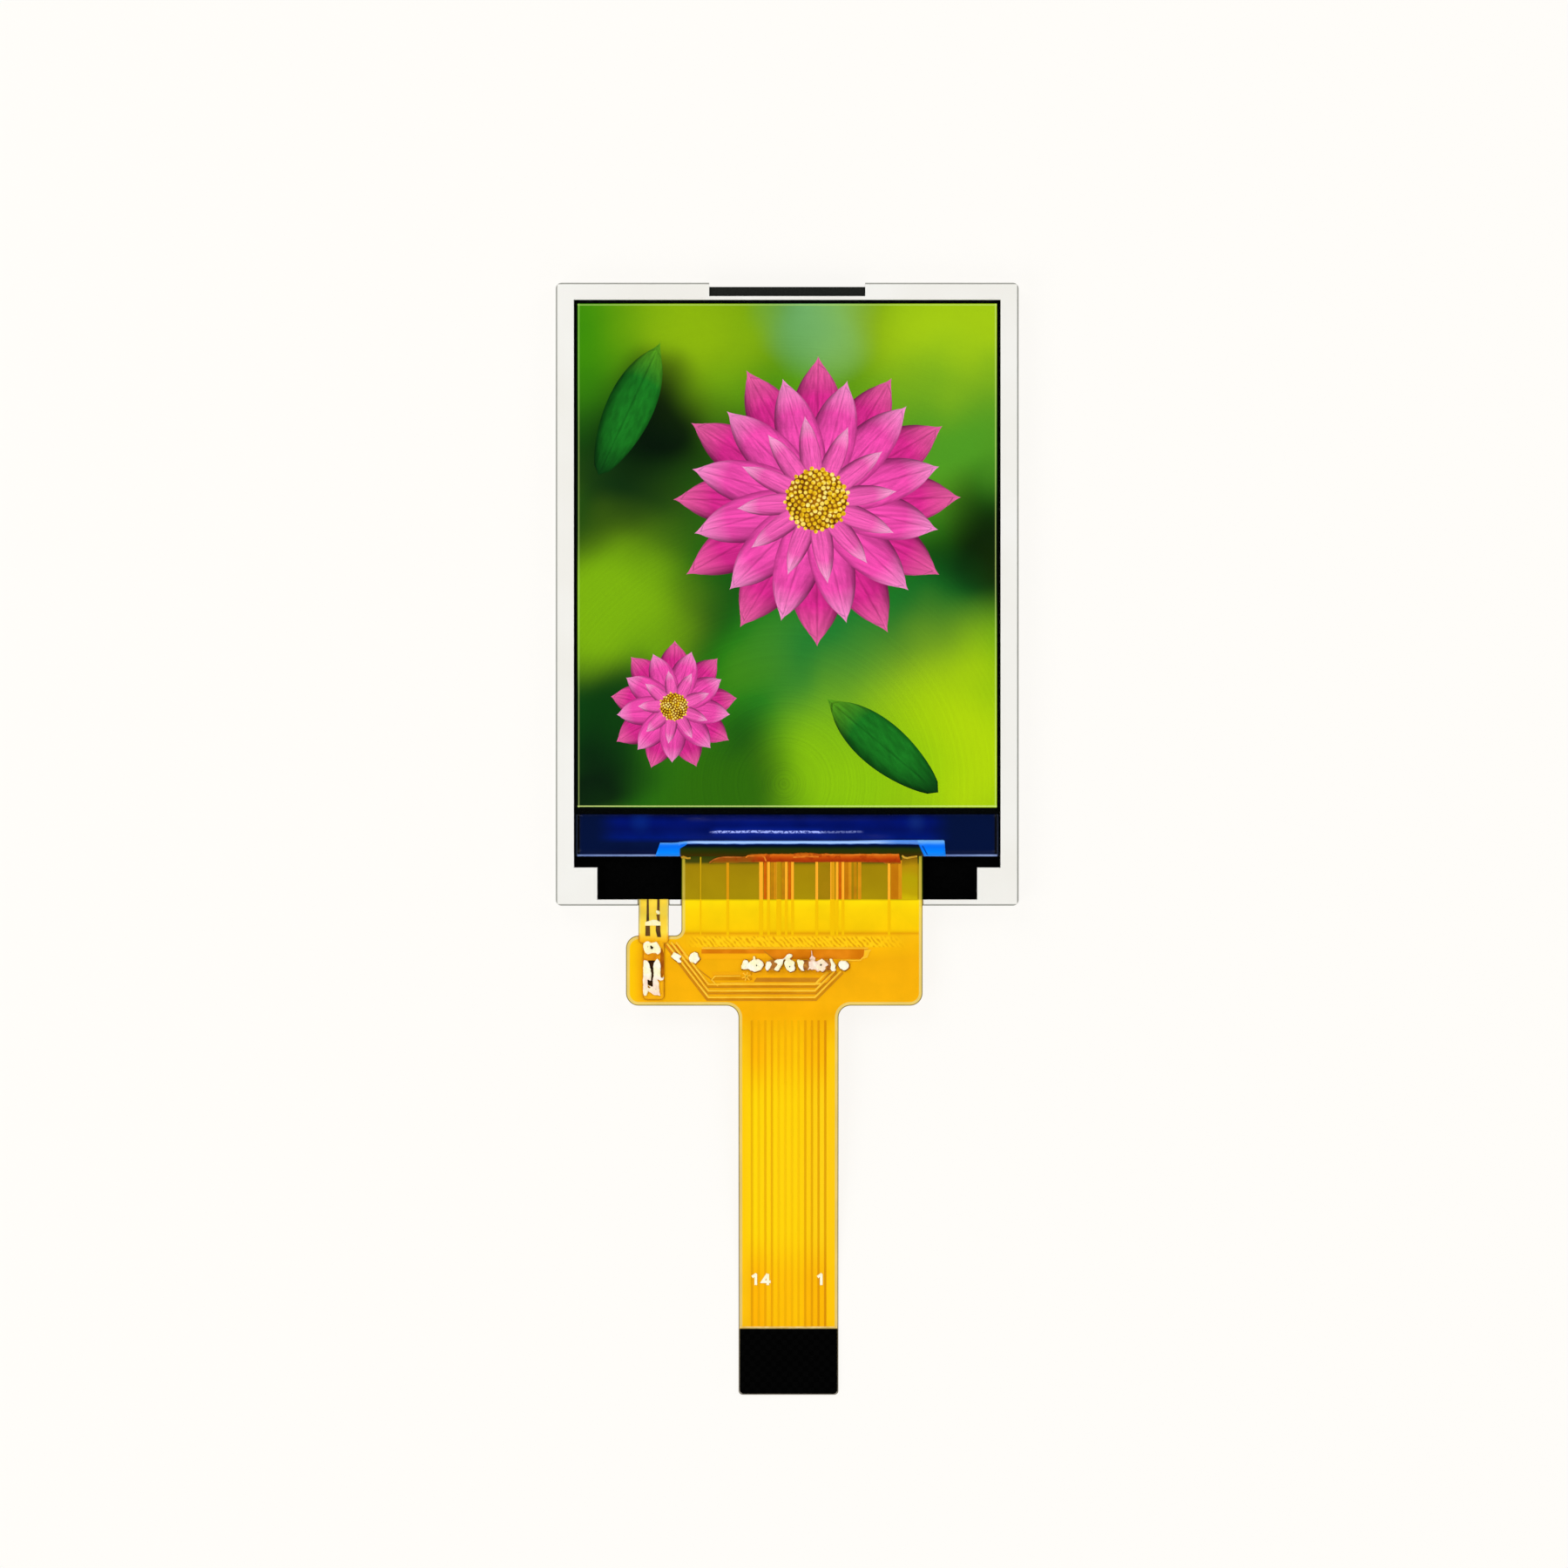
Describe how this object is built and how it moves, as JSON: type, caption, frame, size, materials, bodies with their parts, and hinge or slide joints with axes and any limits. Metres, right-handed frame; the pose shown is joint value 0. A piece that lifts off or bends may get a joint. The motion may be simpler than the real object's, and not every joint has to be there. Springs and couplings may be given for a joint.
{
  "type": "tft display module",
  "caption": "Small portrait colour display module: lit cell in a white backlight frame, with a flexible circuit and a stiffened plug-in contact tail.",
  "frame": {"origin": "centre of the flat back of the backlight frame, which the module rests on", "axes": "+X to the right across the screen, +Y towards the top of the picture, +Z out of the screen"},
  "size_m": [0.0346, 0.0836, 0.0024],
  "materials": {
    "frame_white": "satin",
    "reflector_white": "satin",
    "clear_acrylic": "gloss",
    "optical_film": "satin",
    "lamp_white": "satin",
    "phosphor_yellow": "satin",
    "amber_film": "satin",
    "dark_copper": "satin",
    "double_sided_tape": "matte",
    "black_tape": "matte",
    "dark_foam": "matte",
    "polariser_film": "gloss",
    "cell_glass": "gloss",
    "border_black": "matte",
    "lit_green": "lit",
    "lit_pink": "lit",
    "lit_yellow": "lit",
    "lit_dark_green": "lit",
    "silicon": "gloss",
    "bond_film": "satin",
    "navy_silicone": "gloss",
    "blue_glue": "gloss",
    "copper": "satin",
    "brown_ceramic": "satin",
    "solder": "satin",
    "black_stiffener": "matte",
    "gold_plate": "polished"
  },
  "bodies": {
    "root": {"backlight_frame": "frame_white", "reflector_sheet": "reflector_white", "light_guide": "clear_acrylic", "diffuser_film": "optical_film", "lower_prism_film": "optical_film", "upper_prism_film": "optical_film", "lamp_1": "lamp_white", "lamp_2": "lamp_white", "lamp_3": "lamp_white", "lamp_phosphor": "phosphor_yellow", "lamp_circuit": "amber_film", "supply_tracks": "dark_copper", "strip_tape": "double_sided_tape", "shield_tape": "black_tape", "notch_pad": "dark_foam", "rear_polariser": "polariser_film", "array_glass": "cell_glass", "cell_seal": "border_black", "liquid_crystal": "lit_green", "picture_petals": "lit_pink", "picture_centres": "lit_yellow", "picture_leaves": "lit_dark_green", "upper_glass": "cell_glass", "front_polariser": "polariser_film", "driver_chip": "silicon", "chip_bond": "bond_film", "ledge_coating": "navy_silicone", "circuit_bond": "bond_film", "bond_fingers": "copper", "glue_bead": "blue_glue", "main_circuit": "amber_film", "copper_tracks": "copper", "capacitor_1": "brown_ceramic", "capacitor_2": "brown_ceramic", "capacitor_3": "brown_ceramic", "capacitor_ends": "solder", "solder_domes": "solder", "supply_joints": "solder", "tail_stiffener": "black_stiffener", "contact_fingers": "gold_plate"}
  },
  "joints": []
}
